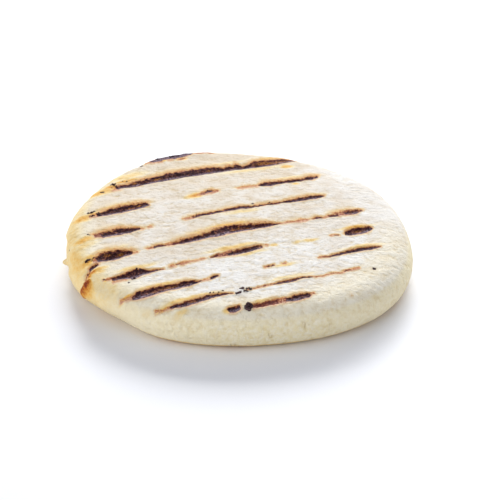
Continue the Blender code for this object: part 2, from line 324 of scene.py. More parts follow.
# %% The marks of the top
TOP_ROD_ANGLE = math.radians(19.3)
TOP_MARKS = (
    # the bar at the far rim
    (0.98, ((-13.0, 50.8, 52.6), (-11.6, 50.1, 52.8), (-9.8, 50.0, 52.6), (-8.4, 50.3, 52.2))),
    (0.88, ((-9.6, 50.3, 53.6), (-5.0, 49.9, 54.6), (-1.0, 50.4, 55.2), (2.4, 51.9, 55.4))),
    (0.68, ((3.2, 51.5, 52.7), (6.0, 50.9, 52.1), (8.8, 50.3, 51.5))),
    (0.48, ((-14.6, 50.4, 52.4), (-12.4, 49.3, 50.8), (-9.6, 49.0, 50.4))),
    (0.44, ((-7.2, 48.9, 50.0), (-5.6, 49.1, 50.1))),
    (0.60, ((-4.0, 48.4, 49.3), (-2.6, 48.5, 49.6), (-1.4, 49.0, 49.7))),
    # second bar, the longest and widest
    (1.00, ((-29.0, 35.6, 37.6), (-26.0, 35.4, 37.4), (-22.0, 35.2, 38.5), (-15.0, 35.1, 38.7),
            (-10.0, 35.1, 39.5), (-6.5, 35.1, 39.0), (3.5, 35.1, 39.0), (6.5, 35.2, 38.2),
            (8.5, 35.3, 37.4), (10.5, 35.0, 38.2), (11.8, 35.6, 37.0), (13.4, 35.0, 38.8),
            (15.0, 35.0, 36.8), (17.0, 34.6, 37.1), (20.0, 34.0, 38.8), (25.0, 34.2, 38.4),
            (30.0, 34.9, 38.0), (33.6, 35.6, 37.0))),
    (0.48, ((-31.0, 34.4, 35.6), (-28.6, 34.4, 37.2))),
    (0.50, ((-8.0, 38.6, 39.8), (-4.0, 38.8, 40.0))),
    # third bar
    (0.92, ((-40.0, 19.0, 20.6), (-37.0, 18.4, 21.2))),
    (1.00, ((-37.5, 18.4, 21.2), (-35.0, 18.1, 22.0), (-32.0, 18.0, 22.5), (-29.0, 18.4, 22.0),
            (-25.0, 18.6, 22.0), (-23.4, 19.4, 21.4))),
    (0.48, ((-42.6, 18.9, 20.4), (-39.5, 18.5, 21.0))),
    (0.50, ((-6.6, 18.9, 20.5), (-4.0, 18.9, 20.9), (-2.0, 19.1, 21.0))),
    (0.72, ((-5.4, 19.2, 20.3), (-3.2, 19.3, 20.8))),
    (0.96, ((-3.6, 19.9, 20.9), (-1.2, 20.2, 21.6))),
    (0.60, ((-2.2, 18.9, 20.3), (0.4, 19.3, 20.9))),
    (0.46, ((7.4, 19.0, 20.2), (10.0, 19.4, 21.0), (13.6, 19.0, 20.4))),
    (1.00, ((14.4, 19.4, 20.1), (16.2, 18.6, 21.0), (18.0, 18.1, 21.2), (20.0, 18.8, 21.0),
            (23.0, 18.7, 20.6), (30.0, 18.8, 20.6), (32.0, 18.6, 21.0), (34.0, 19.0, 21.4),
            (35.7, 19.9, 21.5))),
    # fourth bar
    (0.74, ((-44.2, 6.4, 8.2), (-41.6, 5.6, 8.3))),
    (1.00, ((-42.0, 5.3, 8.2), (-38.0, 5.0, 8.3), (-35.4, 4.9, 8.4), (-33.6, 4.6, 7.2),
            (-31.0, 5.0, 6.8), (-30.2, 5.3, 6.2))),
    (0.52, ((-29.9, 4.7, 5.7), (-29.0, 4.9, 5.6))),
    (0.50, ((-27.5, 4.7, 5.7), (-26.5, 5.0, 6.0))),
    (0.62, ((-15.6, 5.0, 6.0), (-12.8, 4.9, 6.3))),
    (0.94, ((-13.0, 5.2, 6.4), (-10.0, 5.3, 6.7), (-5.0, 5.4, 6.5), (0.0, 5.4, 6.9),
            (4.0, 5.5, 7.0), (6.5, 5.3, 6.4), (12.0, 5.7, 6.6), (14.0, 5.1, 6.4),
            (17.0, 5.4, 6.4), (22.0, 5.0, 6.7), (29.0, 4.9, 7.0), (32.0, 5.6, 6.5))),
    # fifth bar, wide in the middle of the cake
    (1.00, ((-47.2, -7.4, -4.8), (-45.0, -8.4, -3.8), (-42.5, -8.6, -3.5), (-40.0, -8.3, -3.9),
            (-38.0, -8.0, -4.9), (-36.4, -7.8, -5.8))),
    (0.58, ((-48.2, -7.4, -5.4), (-46.4, -8.3, -4.3))),
    (0.56, ((-36.6, -7.9, -6.9), (-34.8, -7.6, -7.0))),
    (0.62, ((-31.2, -7.2, -6.4), (-29.0, -7.4, -6.3))),
    (0.93, ((-29.2, -7.4, -6.3), (-25.6, -7.5, -6.4))),
    (0.60, ((-25.8, -7.5, -6.2), (-23.0, -7.6, -6.0))),
    (0.80, ((-23.4, -7.7, -6.2), (-20.6, -7.9, -6.1))),
    (1.00, ((-21.0, -8.0, -6.0), (-18.0, -8.1, -5.8), (-15.0, -8.1, -5.5), (-10.0, -8.1, -4.8),
            (-7.0, -8.0, -4.1), (-4.0, -7.8, -3.5), (0.0, -7.9, -4.4), (5.0, -7.9, -4.9),
            (8.0, -7.8, -5.5), (10.5, -7.4, -6.3), (11.7, -7.1, -6.7))),
    (0.53, ((11.8, -7.3, -6.8), (16.4, -7.5, -6.7), (18.6, -8.0, -6.4), (21.5, -7.7, -7.0))),
    (0.88, ((22.6, -7.8, -7.0), (24.2, -7.5, -6.3), (26.0, -7.8, -7.0))),
    (0.55, ((26.0, -7.8, -7.2), (28.4, -7.6, -6.9))),
    (0.84, ((28.4, -7.9, -6.9), (31.4, -7.8, -6.2))),
    (0.68, ((30.8, -7.6, -5.7), (33.6, -7.8, -5.3), (36.6, -7.8, -5.2))),
    (0.90, ((34.0, -7.4, -5.8), (35.6, -7.8, -5.3), (38.0, -7.3, -5.5), (40.2, -6.7, -6.0))),
    # the edge of the fold
    (0.64, ((-52.2, -12.5, -12.1), (-51.4, -11.7, -11.2), (-50.5, -10.9, -10.3))),
    (0.90, ((-51.6, -11.7, -11.2), (-51.1, -11.4, -10.8))),
    (1.00, ((-50.6, -10.3, -9.5), (-49.2, -10.2, -8.9), (-47.4, -9.6, -8.2))),
    # sixth bar
    (0.60, ((-48.2, -17.9, -17.1), (-46.0, -18.8, -17.5), (-44.4, -19.8, -17.9))),
    (0.95, ((-45.6, -19.6, -17.9), (-43.0, -20.0, -17.7), (-42.0, -20.2, -17.4))),
    (1.00, ((-43.0, -20.0, -17.7), (-40.0, -20.8, -16.8), (-38.2, -20.6, -16.4), (-36.0, -20.1, -17.0),
            (-34.0, -20.0, -18.3), (-32.0, -19.9, -18.9), (-30.0, -19.8, -19.4))),
    (0.46, ((-46.0, -20.6, -19.6), (-42.0, -21.2, -20.2))),
    (0.56, ((-28.0, -19.5, -18.4), (-26.8, -19.6, -18.0))),
    (0.86, ((-26.2, -19.0, -18.5), (-24.9, -18.9, -18.4))),
    (0.54, ((-24.8, -19.4, -18.2), (-22.0, -19.3, -17.9))),
    (0.48, ((-22.0, -19.1, -18.4), (-16.6, -18.9, -18.3))),
    (0.80, ((-15.2, -19.0, -18.2), (-12.6, -19.1, -17.8))),
    (0.74, ((-13.0, -19.3, -18.0), (-10.0, -19.7, -17.4), (-7.6, -19.7, -17.0))),
    (1.00, ((-9.6, -19.5, -18.4), (-7.0, -19.9, -17.6), (-2.0, -19.6, -17.3), (0.4, -19.2, -17.0),
            (1.7, -18.8, -17.5))),
    (0.62, ((2.8, -18.6, -17.9), (3.6, -18.5, -17.9))),
    (0.56, ((24.2, -18.8, -18.0), (25.8, -18.9, -18.1))),
    (0.95, ((25.8, -18.9, -18.2), (26.9, -19.5, -18.6))),
    (1.00, ((28.8, -19.5, -18.4), (30.0, -19.8, -17.0), (32.5, -19.7, -16.2), (36.0, -19.3, -16.0),
            (38.0, -18.6, -16.2), (38.7, -17.8, -16.8))),
    # seventh bar
    (0.50, ((-46.0, -28.3, -27.6), (-44.2, -29.4, -28.4), (-42.0, -30.2, -28.8))),
    (1.00, ((-42.8, -30.0, -29.0), (-41.0, -31.0, -28.2), (-38.5, -31.4, -28.0), (-35.0, -31.0, -28.0),
            (-30.0, -30.8, -28.3), (-25.4, -30.8, -28.3), (-23.0, -30.4, -29.0), (-21.4, -30.1, -29.7))),
    (0.50, ((-21.6, -30.4, -29.4), (-19.4, -30.4, -29.2))),
    (0.98, ((-18.9, -30.0, -29.0), (-17.4, -29.7, -28.3), (-16.0, -29.3, -28.5))),
    (0.54, ((-1.6, -29.9, -29.2), (-0.6, -29.9, -29.0))),
    (0.92, ((-0.9, -29.9, -29.1), (1.5, -29.6, -28.9))),
    (0.62, ((4.2, -29.9, -29.2), (5.3, -29.8, -29.0))),
    (0.66, ((15.6, -29.9, -29.3), (17.2, -29.4, -28.6), (19.0, -29.9, -29.1))),
    (0.97, ((19.0, -30.0, -29.2), (21.5, -29.8, -28.8), (24.0, -29.7, -28.5), (27.0, -29.4, -27.9),
            (31.0, -29.5, -27.7), (33.4, -29.5, -27.5), (35.8, -29.1, -28.0), (36.6, -28.8, -28.3))),
    # eighth bar
    (0.54, ((-38.0, -37.4, -36.9), (-36.0, -38.3, -37.6), (-33.6, -39.1, -38.2))),
    (1.00, ((-34.2, -38.9, -38.3), (-32.0, -39.4, -38.1), (-29.0, -39.9, -37.9), (-26.0, -39.8, -37.7),
            (-22.6, -39.1, -37.3), (-18.0, -39.1, -38.0), (-15.0, -39.3, -38.8))),
    (0.84, ((-6.4, -39.4, -38.7), (-5.0, -39.4, -38.7))),
    (0.72, ((-10.6, -39.2, -38.9), (-5.0, -39.3, -38.8), (-2.0, -39.3, -38.8))),
    (0.95, ((-2.4, -39.4, -38.8), (1.0, -39.5, -38.3), (5.0, -39.4, -38.2), (7.0, -39.1, -38.3),
            (10.4, -39.2, -38.7))),
    (0.60, ((10.6, -39.5, -39.1), (14.2, -39.3, -38.8), (16.0, -38.9, -38.3), (19.4, -39.4, -38.9))),
    (0.56, ((20.0, -39.2, -38.2), (25.4, -38.7, -37.8))),
    (0.82, ((20.4, -39.1, -38.4), (22.8, -38.9, -38.3))),
    # the bar at the near rim
    (1.00, ((-18.9, -46.8, -45.4), (-17.5, -47.2, -45.1), (-15.4, -46.9, -45.2))),
    (0.79, ((-11.6, -47.9, -46.0), (-9.4, -48.2, -46.3), (-4.0, -48.4, -46.0))),
    (0.68, ((-4.6, -48.2, -46.3), (-1.0, -48.4, -46.4))),
    (1.00, ((-1.6, -48.2, -46.8), (1.0, -48.7, -46.3), (5.0, -48.4, -46.3), (6.0, -47.8, -46.6))),
    (0.58, ((5.6, -47.8, -46.6), (7.5, -47.2, -46.6))),
    (0.24, ((17.6, -50.3, -50.0), (18.0, -50.3, -50.0))),
)
print(len(TOP_MARKS), "marks on the top")

# %% [markdown]
# The underside was grilled first, on the same rods, with the cake turned a little further round. It
# can't be seen in use, so its marks are drawn by chance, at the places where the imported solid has
# its grooves: the same seed and the same order of draws give the same places.

# %% The marks of the underside
UNDER_ROD_ANGLE = math.radians(-34)
UNDER_ROD_DISTANCE = 12.5
UNDER_RODS_EACH_SIDE = 4
UNDER_REACH = 47.0
UNDER_STRETCH = (12.0, 34.0)
UNDER_GAP = (5.0, 13.0)
UNDER_WIDTH = (2.0, 3.6)
UNDER_DRIFT = 0.6
UNDER_SEED = 12
UNDER_STEPS = 8  # from end to end of a mark
UNDER_WOBBLE = 0.15
UNDER_END = 0.35  # width at an end, as a share of the middle
UNDER_RAGGED = (0.75, 1.1)
UNDER_HEAT = (0.9, 1.0)


def under_marks():
    """The marks of the underside, in the same form as TOP_MARKS."""
    chance = random.Random(UNDER_SEED)
    shape = random.Random(UNDER_SEED + 1)
    marks = []
    for k in range(-UNDER_RODS_EACH_SIDE, UNDER_RODS_EACH_SIDE):
        across = (k + 0.5) * UNDER_ROD_DISTANCE
        reach = math.sqrt(UNDER_REACH**2 - across**2)
        start = -reach + chance.uniform(0.0, UNDER_GAP[1])
        while start < reach - UNDER_STRETCH[0]:
            end = min(start + chance.uniform(*UNDER_STRETCH), reach)
            drift = chance.uniform(-UNDER_DRIFT, UNDER_DRIFT)
            half = chance.uniform(*UNDER_WIDTH) / 2
            stations = []
            for j in range(UNDER_STEPS + 1):
                share = j / UNDER_STEPS
                wobble = shape.uniform(-UNDER_WOBBLE, UNDER_WOBBLE)
                middle = across - drift + 2 * drift * share + wobble
                bulge = UNDER_END + (1 - UNDER_END) * math.sin(math.pi * share) ** 0.5
                wide = half * bulge * shape.uniform(*UNDER_RAGGED)
                stations.append((start + (end - start) * share, middle - wide, middle + wide))
            marks.append((shape.uniform(*UNDER_HEAT), tuple(stations)))
            start = end + chance.uniform(*UNDER_GAP)
    return tuple(marks)


UNDER_MARKS = under_marks()
print(len(UNDER_MARKS), "marks on the underside")

# %% [markdown]
# ## How brown each place is
#
# Browning has no sharp edge. Next to a burnt bar the dough is red-brown, then orange, then golden,
# and the gold reaches further on the side away from the camera, where the dough swelled up against
# the rod. Two numbers for each point of the skin hold this: how far it is from the edge of its mark,
# and how hot that mark got. From them comes its toast, from 0, white dough, to 1, char. Noise moves
# the points about before they are measured, so that no edge looks drawn.

# %% Helpers for places and noise
MIDDLE_EASE = 0.7  # mm


def turned(points, angle):
    """Distances along and across a direction, in mm."""
    along = points[:, 0] * math.cos(angle) + points[:, 1] * math.sin(angle)
    across = points[:, 1] * math.cos(angle) - points[:, 0] * math.sin(angle)
    return along, across


def cloud(points, size, shift=0.0):
    """Smooth noise from about -1 to 1, with lumps of this size in mm. Another shift, other noise."""
    return np.array([noise.noise(place) for place in (points / size + shift).tolist()])


def mark_gap(along, across, stations):
    """Distance to the edge of a mark, below 0 inside it, then the side, 1 if far, and its width."""
    stops, near, far = np.array(stations).T
    spot = np.clip(along, stops[0], stops[-1])
    low = np.interp(spot, stops, near)
    high = np.interp(spot, stops, far)
    off = across - (low + high) / 2
    outside = np.abs(off) - (high - low) / 2
    beyond = np.abs(along - spot)
    away = np.hypot(beyond, np.maximum(outside, 0.0))
    return np.where(away > 0, away, outside), ease(off, -MIDDLE_EASE, MIDDLE_EASE), high - low


# %% [markdown]
# Each point belongs to the mark that toasts it most, so the marks are gone through one by one and
# the best is kept. A wide bar has a wide golden halo, and for the bars at the back, where the dough
# swelled up more, the far side of it is wider still.

# %% Marks on the skin
EDGE_WANDER = ((2.4, 0.34), (1.0, 0.20))  # size of the noise and how far it moves an edge, mm
WANDER_SHIFTS = (7.3, 31.7)  # along and across
CORE_EDGE = (0.27, -0.34)  # mm from the edge of a mark, where its core starts and is full
FULL_CHAR = 1.02
HALO_REACH = 3.2  # mm
HALO_HEAT = 0.40
HALO_FALL = 2.7
FAR_HALO = (1.0, 1.9)  # for the bars in front and for those behind
NEAR_HALO = 0.70
WIDTH_HALO = ((0.8, 2.8), (0.45, 1.0))  # a narrow mark has a narrow halo
FRONT_TO_BACK = (-16.0, -8.0)  # mm across
CHARRED = 0.78
FAINT_SPREAD = 0.22  # mm, a mark that isn't charred is this much wider
NO_MARK = 9.0  # mm, past every halo


def browning(gap, heat):
    """Toast at a distance from the edge of a mark: a core and its halo."""
    core = ease(gap, *CORE_EDGE)
    halo = HALO_HEAT * np.clip(1 - gap / HALO_REACH, 0.0, 1.0) ** HALO_FALL
    return heat * (halo + (FULL_CHAR - halo) * core)


def marks_on(points, marks, angle):
    """For each point the toast, and the gap, heat and side of the mark that gives it."""
    along, across = turned(points, angle)
    for size, reach in EDGE_WANDER:
        along = along + reach * cloud(points, size, WANDER_SHIFTS[0])
        across = across + reach * cloud(points, size, WANDER_SHIFTS[1])
    best = np.zeros((4, len(points)))
    best[1] = NO_MARK
    far_halo = FAR_HALO[0] + (FAR_HALO[1] - FAR_HALO[0]) * ease(across, *FRONT_TO_BACK)
    for heat, stations in marks:
        gap, far_side, width = mark_gap(along, across, stations)
        gap -= FAINT_SPREAD if heat < CHARRED else 0.0
        spread = (NEAR_HALO + (far_halo - NEAR_HALO) * far_side) * np.interp(width, *WIDTH_HALO)
        gap = np.where(gap > 0, gap / spread, gap)
        found = np.stack([browning(gap, heat), gap, np.full(len(points), heat), 1 - far_side])
        best = np.where(found[0] > best[0], found, best)
    return best


points = places(skin)
normals = outward(skin)
facing_up = ease(normals[:, 2], 0.10, 0.4)
facing_down = ease(normals[:, 2], -0.6, -0.9)
top_best = marks_on(points, TOP_MARKS, TOP_ROD_ANGLE)
under_best = marks_on(points, UNDER_MARKS, UNDER_ROD_ANGLE)
toast, gap, heat, near_side = np.where(normals[:, 2] > 0, top_best, under_best)
heat = heat * np.maximum(facing_up, facing_down)
toast = browning(gap, heat)
char_gap = np.where(heat > CHARRED, gap, NO_MARK)
print("charred share of the skin:", round(float((toast > 0.9).mean()), 3))

# %% [markdown]
# Warm patches: the rim on the left was nearest the fire, so the bars fade into gold there, and the
# dough swelled up golden against the far side of some rods. They are soft ovals, and the side of the
# rim at the left is a little golden as a whole.

# %% Warm patches
WARM_PATCHES = (  # along, across, half length, half width, warmth
    (-35.0, 36.6, 4.8, 2.3, 0.34), (-30.6, 37.8, 2.8, 1.9, 0.42), (-24.5, 40.2, 4.4, 1.1, 0.40),
    (-24.0, 43.6, 7.0, 2.4, 0.15), (-12.0, 40.6, 8.0, 1.0, 0.12), (8.0, 40.4, 10.0, 1.1, 0.12),
    (25.0, 39.6, 5.5, 1.0, 0.26), (29.0, 31.8, 2.0, 1.2, 0.34), (17.0, 32.8, 10.0, 1.2, 0.14),
    (-45.2, 20.0, 3.2, 2.1, 0.38), (-40.6, 20.7, 3.0, 1.5, 0.34), (-34.0, 23.1, 4.5, 1.0, 0.22),
    (-31.0, 23.4, 6.5, 1.0, 0.22), (26.0, 22.2, 9.0, 1.0, 0.14), (26.5, 17.2, 1.2, 0.6, 0.30),
    (-47.9, 6.9, 3.8, 1.7, 0.36), (-49.0, 3.6, 4.0, 2.0, 0.16), (-39.0, 9.2, 4.5, 0.9, 0.16),
    (29.0, 7.7, 3.6, 0.8, 0.20), (3.0, 3.8, 6.0, 1.0, 0.12), (-49.6, -5.6, 3.8, 2.8, 0.36),
    (-42.5, -2.6, 5.5, 1.1, 0.22), (-3.5, -2.9, 7.0, 1.0, 0.34), (-13.0, -4.2, 4.5, 1.1, 0.22),
    (34.0, -4.7, 5.0, 0.7, 0.16), (-38.0, -15.6, 5.5, 1.2, 0.22), (-7.0, -15.8, 7.0, 1.1, 0.25),
    (-3.0, -20.6, 5.0, 0.9, 0.18), (34.0, -15.8, 4.8, 0.9, 0.40), (5.0, -18.6, 1.4, 0.9, 0.22),
    (13.0, -19.0, 1.6, 0.8, 0.16), (17.5, -19.0, 2.4, 0.8, 0.20), (-34.0, -27.4, 7.5, 0.9, 0.26),
    (4.5, -30.2, 3.0, 0.8, 0.20), (31.5, -27.0, 6.0, 0.9, 0.20), (-28.0, -37.0, 9.0, 0.9, 0.25),
    (4.0, -37.0, 7.0, 1.0, 0.12), (-44.2, -28.3, 2.0, 0.6, 0.38), (-36.2, -37.6, 2.2, 0.6, 0.38),
    (-46.4, -18.0, 1.6, 0.7, 0.44), (-19.3, -46.1, 0.9, 0.9, 0.26), (-8.0, -45.8, 5.0, 0.8, 0.20),
    (-31.6, -41.4, 2.4, 0.9, 0.17), (-42.0, -36.0, 3.0, 1.2, 0.08), (-52.5, -2.0, 2.6, 9.0, 0.26),
    (-51.5, 12.0, 2.0, 7.0, 0.16), (-46.0, 29.0, 2.6, 4.0, 0.16), (-51.5, -12.9, 1.4, 1.0, 0.52),
    (-50.2, -12.0, 1.8, 1.1, 0.54), (-48.2, -11.4, 2.6, 1.0, 0.34), (-48.4, -12.6, 2.6, 1.5, 0.22),
    (-47.0, -22.0, 2.2, 5.0, 0.12), (-7.6, 19.6, 2.8, 1.5, 0.42), (-9.6, 49.9, 1.8, 0.8, 0.34),
    (-2.6, 49.2, 2.0, 1.0, 0.30),
)
PATCH_FALL = 1.3  # above 1, an oval is fuller and ends sooner
RIM_WARMTH = 0.12
RIM_SPAN = (150, 176, 214, 244)  # degrees round the cake: start, full, fading, end
RIM_START = (47.0, 52.0)  # mm from the axis


def ovals(along, across, spots, fall=1.0):
    """The strongest of some soft ovals: place, half length, half width and strength of each."""
    found = np.zeros(len(along))
    for middle, side, half_length, half_width, strength in spots:
        off = ((along - middle) / half_length) ** 2 + ((across - side) / half_width) ** 2
        found = np.maximum(found, strength * np.exp(-(off**fall)))
    return found


along, across = turned(points, TOP_ROD_ANGLE)
ragged_along = along + 1.1 * cloud(points, 4.0, 3.1)
ragged_across = across + 0.5 * cloud(points, 2.6, 9.4)
warm = ovals(ragged_along, ragged_across, WARM_PATCHES, PATCH_FALL) * facing_up
on_left = span(round_cake(points), *RIM_SPAN)
at_rim = ease(from_axis(points), *RIM_START) * (1 - facing_down)
warm = np.maximum(warm, RIM_WARMTH * on_left * at_rim * (1 + 0.35 * cloud(points, 5.0, 8.8)))
print("warm share of the skin:", round(float((warm > 0.1).mean()), 3))

# %% [markdown]
# The underside lay on the hot grill, so it is golden all over. The very bottom of the rim is golden
# too and is painted browner still, as the contact shade where the cake meets the table: from the
# front, that is the warm dark line at its foot. The left of the foot curls up off the table, so the line
# is fainter there.

# %% Golden underside
FOOT_GOLD_AND_CONTACT_SHADE = 0.52
FOOT_HEIGHTS = (1.9, 0.4)  # mm, where the gold ends and where it is full
FOOT_CURL = (-25.0, -45.0)  # mm to the side
FOOT_CURL_LOSS = 0.6
UNDER_GOLD = (0.16, 0.12)  # everywhere, and how much more in the clouds

# painted contact shade: the foot is made browner down towards the table
foot = ease(points[:, 2], *FOOT_HEIGHTS) * (1 + 0.3 * cloud(points, 3.0, 2.2))
foot *= 1 - FOOT_CURL_LOSS * ease(points[:, 0], *FOOT_CURL)
below = UNDER_GOLD[0] + UNDER_GOLD[1] * ease(cloud(points, 11.0, 6.1), -0.3, 0.4)
warm = np.maximum(warm, np.where(facing_down > 0.5, below, FOOT_GOLD_AND_CONTACT_SHADE * foot))
print("warmest point:", round(float(warm.max()), 2))

# %% [markdown]
# ## The fold in the rim
#
# The rim is folded on the left: the dough in front stands proud of the dough behind it. Where the
# fold runs on to the top, its edge is burnt, with orange under it. On the side it ends in a lip
# like a fingernail, which is red-brown above and orange below. The lip is listed from its foot to
# its top: the height, where it begins and where it ends past the fold, all in mm, and how brown it is.

# %% Fold
LIP = (  # height, start, end, toast
    (2.9, -2.6, -1.6, 0.46),
    (4.0, -3.0, -0.6, 0.47),
    (5.2, -3.0, 0.4, 0.58),
    (7.1, -1.8, 2.0, 0.68),
    (8.6, -0.6, 2.6, 0.70),
    (9.6, 0.4, 2.5, 0.68),
    (10.3, 1.0, 2.0, 0.62),
)
LIP_FADE = ((0.0, 0.5, 0.85, 1.3, 1.9, 2.8), (1.0, 1.0, 0.78, 0.50, 0.26, 0.0))  # over and past it
LIP_RIM = (50.0, 52.5)  # mm from the axis
LIP_HEIGHTS = (2.3, 3.0, 10.2, 10.7)  # mm: start, full, fading, end
LIP_PROUD = 0.50  # mm

radius, past_fold = rim_place(points)
lip_height, lip_start, lip_end, lip_toast = np.array(LIP).T
height = points[:, 2]
start = np.interp(height, lip_height, lip_start)
end = np.interp(height, lip_height, lip_end)
over_lip = (past_fold - start) / (end - start)
at_side = ease(radius, *LIP_RIM) * span(height, *LIP_HEIGHTS)
lip = at_side * ease(past_fold - start, -0.25, 0.1) * ease(over_lip, 1.1, 0.5)
warm_lip = at_side * ease(past_fold - start, -0.25, 0.05) * np.interp(height, lip_height, lip_toast)
warm_lip *= np.interp(over_lip, *LIP_FADE)
warm = np.maximum(warm, warm_lip)
print("points on the lip:", int((lip > 0.5).sum()))

# %% [markdown]
# ## Relief
#
# Dough that dries on a grill gets a net of fine wrinkles between broad soft folds. They run on from
# side to side and wander as they go. Both are ridged noise: noise folded at zero, which gives sharp
# lines instead of hills, stretched along one direction. It is read at places that slower noise has
# pushed about, and that makes it wander.

# %% Wrinkles and folds
WRINKLE_ANGLE = math.radians(6)
WRINKLE_SIZE = (2.9, 1.6, 1.7)  # mm along, across and up
WRINKLE_PUSHES = ((9.0, 2.2, 0.0, 17.7), (3.5, 1.0, 50.0, 13.1))  # size, reach, shift, step
WRINKLE_FOLD = 2.4
BROAD_ANGLE = math.radians(-4)
BROAD_SIZE = (7.0, 2.8, 3.0)
BROAD_PUSHES = ((12.0, 4.0, 80.0, 11.3),)
BROAD_FOLD = 2.8


def wandering(points, angle, sizes, pushes):
    """Places to read noise at: pushed about by slower noise, turned, and measured in these sizes."""
    bend = np.zeros_like(points)
    for size, reach, shift, step in pushes:
        bend += np.stack([cloud(points, size, shift + k * step) for k in range(3)], axis=1) * reach
    along, across = turned(points + bend, angle)
    return np.stack([along, across, points[:, 2] + bend[:, 2]], axis=1) / np.array(sizes)


def folded(spots, size, shift, fold):
    """Noise folded at zero: 1 on its sharp ridges and below 0 in its hollows."""
    return 1 - fold * np.abs(cloud(spots, size, shift))


spots = wandering(points, WRINKLE_ANGLE, WRINKLE_SIZE, WRINKLE_PUSHES)
wrinkle = 0.55 * folded(spots, 1.0, 0.0, WRINKLE_FOLD) + 0.55 * folded(spots, 0.5, 4.4, WRINKLE_FOLD)
spots = wandering(points, BROAD_ANGLE, BROAD_SIZE, BROAD_PUSHES)
broad = folded(spots, 1.0, 2.7, BROAD_FOLD)
print("wrinkles from", round(float(wrinkle.min()), 2), "to", round(float(wrinkle.max()), 2))

# %% [markdown]
# The dough keeps its soft lumps. The rods press the charred marks in, a little dough swells up beside
# them, and char is crusty. At the far rim the burnt edge stands up as a low crest. All of it is real
# relief on the skin, so the points move in and out along their normals.

# %% Relief of the skin
LUMPS = ((15.0, 0.16), (6.0, 0.07), (2.6, 0.022))  # size and height in mm
WRINKLE_HEIGHT = 0.09
BROAD_HEIGHT = 0.08
PRESS_DEPTH = 0.26
SWELL_HEIGHT = 0.14
SWELL_PLACE = (1.3, 0.9)  # mm from the edge of a mark, and how wide
CRUST_GRAIN = ((1.3, 0.12), (0.8, 0.10))
CREST_HEIGHT = 0.35
CREST_ALONG = (-16.5, -12.0, 6.0, 12.0)  # mm: start, full, fading, end
CREST_ACROSS = (48.0, 51.5, 53.5, 55.0)
UNDER_SHARE = 0.45  # the underside lay flat, so its relief is lower

dry = 1 - ease(toast, 0.55, 0.8)
on_top = ease(normals[:, 2], 0.25, 0.75)
on_face = np.maximum(on_top, 0.6 * facing_down)
rise = sum(height * cloud(points, size) for size, height in LUMPS)
rise += WRINKLE_HEIGHT * wrinkle * dry * (0.45 + 0.55 * on_face) * (1 - lip)
rise += BROAD_HEIGHT * broad * dry * on_face * (1 - lip)
rise -= PRESS_DEPTH * ease(char_gap, 0.3, -0.8) * ease(across, 40.0, 25.0)
rise += SWELL_HEIGHT * np.exp(-(((char_gap - SWELL_PLACE[0]) / SWELL_PLACE[1]) ** 2)) * on_face
crust = ease(char_gap, 0.2, -0.2)
rise += crust * sum(height * cloud(points, size, 5.5) for size, height in CRUST_GRAIN)
rise += LIP_PROUD * lip
crest = span(along, *CREST_ALONG) * span(across, *CREST_ACROSS) * facing_up
rise += CREST_HEIGHT * crest * (1 + 0.6 * cloud(points, 1.4, 12.2))
rise *= np.where(facing_down > 0.5, UNDER_SHARE, 1.0)
points = np.clip(points + normals * rise[:, None], *limits)
put_back(skin, points)
print("relief from", round(float(rise.min()), 2), "to", round(float(rise.max()), 2), "mm")

# %% [markdown]
# Here and there an ember colour shows in the char: places where the crust was thin and went only
# orange. They are ovals too, all of them at full strength.

# %% Embers
EMBERS = (  # along, across, half length, half width
    (-22.5, 37.8, 0.9, 0.4), (28.4, 36.0, 3.0, 0.8), (22.0, 37.4, 2.2, 0.6), (24.3, 36.6, 1.6, 0.6),
    (3.2, 37.3, 0.6, 0.4), (-15.0, 37.4, 1.2, 0.5), (-29.0, 20.4, 1.0, 0.4), (-26.0, 20.9, 0.7, 0.4),
    (24.0, 19.5, 0.7, 0.3), (31.0, 19.8, 0.8, 0.3), (-39.5, -5.6, 0.8, 0.6), (-43.5, -4.6, 1.0, 0.4),
    (-3.2, -5.6, 0.7, 0.4), (-1.4, -5.2, 0.6, 0.4), (1.6, -6.0, 0.8, 0.4), (36.0, -6.6, 0.8, 0.4),
    (-31.6, -29.3, 2.4, 0.5), (-36.0, -29.8, 1.0, 0.4), (1.0, -18.0, 0.6, 0.4), (34.0, -17.6, 1.2, 0.5),
    (-8.0, -47.2, 0.8, 0.3), (-5.4, -47.4, 0.8, 0.3), (-27.0, -38.6, 1.2, 0.4),
)

ember_places = turned(points, TOP_ROD_ANGLE)
ember = ovals(*ember_places, [(*spot, 1.0) for spot in EMBERS]) * facing_up
print(len(EMBERS), "embers")

# %% [markdown]
# Where it isn't browned, the dough isn't all one white. It is creamier at the left, beside the charred
# bars and in soft clouds. Towards the back, and in one oval in the middle, it is also painted darker and
# creamier as shade. The edge of a bar that faces the camera has a painted pale glint, and so has the
# char at the far rim.

# %% Cream
CREAM_EVERYWHERE = 0.08
CREAM_CLOUDS = ((9.0, 0.40, 4.2), (3.6, 0.40, 1.2))  # size in mm, strength, shift
# one oval of painted shade, in a soft hollow near the middle of the top
SHADE_OVAL = ((-12, -12, 13, 4.5, 0.30),)
BESIDE_FADE = 1.8  # mm
FAR_GLINT = 0.9

# painted shade: the back of the top, except at the right, is made darker and creamier
to_right = ease(along, 52.0, 25.0)
far_shade = 0.42 * ease(across, -26.0, -6.0) + 0.30 * ease(across, 10.0, 44.0)
near_edge = near_side * ease(gap, -2.4, -0.7)
# painted glint: a pale tone on the near edge of the charred bars and on the char at the far rim, for the
# shine of the light behind the cake
ashen = np.maximum(near_edge, FAR_GLINT * ease(across, 47.5, 49.5) * facing_up)
from_left = ease(along, -15.0, -48.0)
beside = np.exp(-np.clip(gap, 0.0, None) / BESIDE_FADE) * (heat > CHARRED)
patches = sum(strength * cloud(points, size, shift) for size, strength, shift in CREAM_CLOUDS)
cream = CREAM_EVERYWHERE + 1.1 * far_shade * to_right + 0.10 * from_left + 0.12 * beside + patches
cream += ovals(along, across, SHADE_OVAL)
print("cream from", round(float(cream.min()), 2), "to", round(float(cream.max()), 2))
